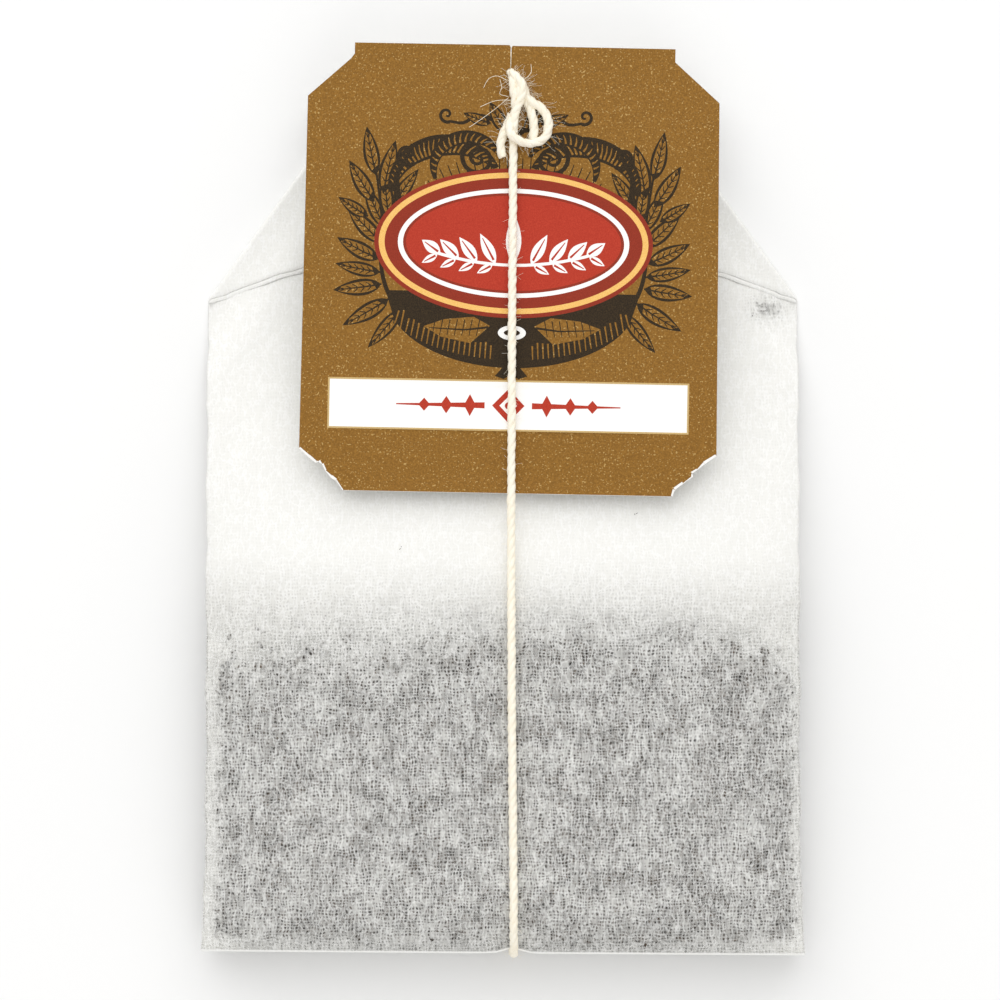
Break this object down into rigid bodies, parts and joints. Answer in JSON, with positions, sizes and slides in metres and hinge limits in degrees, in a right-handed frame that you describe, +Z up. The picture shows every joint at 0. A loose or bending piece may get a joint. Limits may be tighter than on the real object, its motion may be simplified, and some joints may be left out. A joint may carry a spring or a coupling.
{
  "type": "tea bag",
  "caption": "Knotted double-chamber tea bag of folded filter paper, filled with broken leaf tea, with a wrapped cotton thread and a card tag.",
  "frame": {"origin": "on the surface that the bag lies on, under the middle of the object", "axes": "+X across the bag, +Y from the bottom fold to the head, +Z up through the front chamber to the tag"},
  "size_m": [0.0406, 0.0622, 0.0072],
  "materials": {
    "filter_paper": "thin translucent filter paper, soft and fibrous",
    "tea": "broken black tea leaf, matt",
    "tag_card": "card printed gold with a fine metallic grain, white core",
    "cotton": "undyed twisted cotton thread"
  },
  "bodies": {
    "root": {"filter_paper": "filter_paper", "tea_front": "tea", "tea_back": "tea", "tag": "tag_card", "thread": "cotton", "tag_knot": "cotton", "bag_knot": "cotton"}
  },
  "joints": []
}
